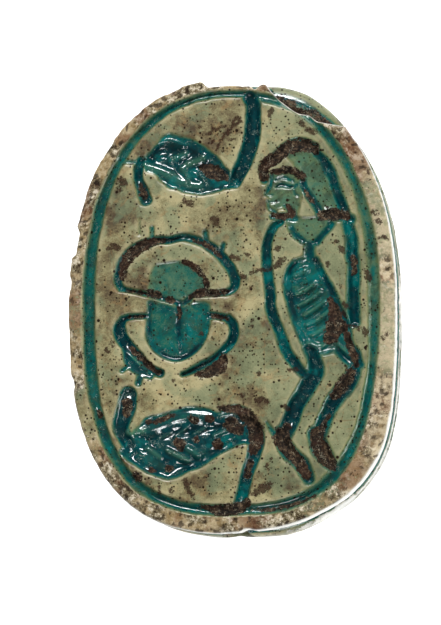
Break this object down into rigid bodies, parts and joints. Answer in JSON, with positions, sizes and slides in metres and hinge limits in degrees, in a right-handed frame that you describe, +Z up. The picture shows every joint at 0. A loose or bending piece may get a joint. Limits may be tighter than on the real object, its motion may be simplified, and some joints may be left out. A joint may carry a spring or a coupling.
{
  "type": "scarab amulet",
  "caption": "Small oval stone amulet in the form of a beetle, bored from end to end, with animals, a beetle sign and a walking figure cut into its flat base inside a frame line.",
  "frame": {"origin": "under the middle of the amulet, on the surface that the crown of the beetle's back rests on", "axes": "+Z up, out of the carved base face, +Y towards the beetle's head, +X to the right of the carved base face when its head end is up"},
  "size_m": [0.0158, 0.022, 0.009],
  "materials": {
    "glazed_stone": "satin"
  },
  "bodies": {
    "root": {"scarab": "glazed_stone"}
  },
  "joints": []
}
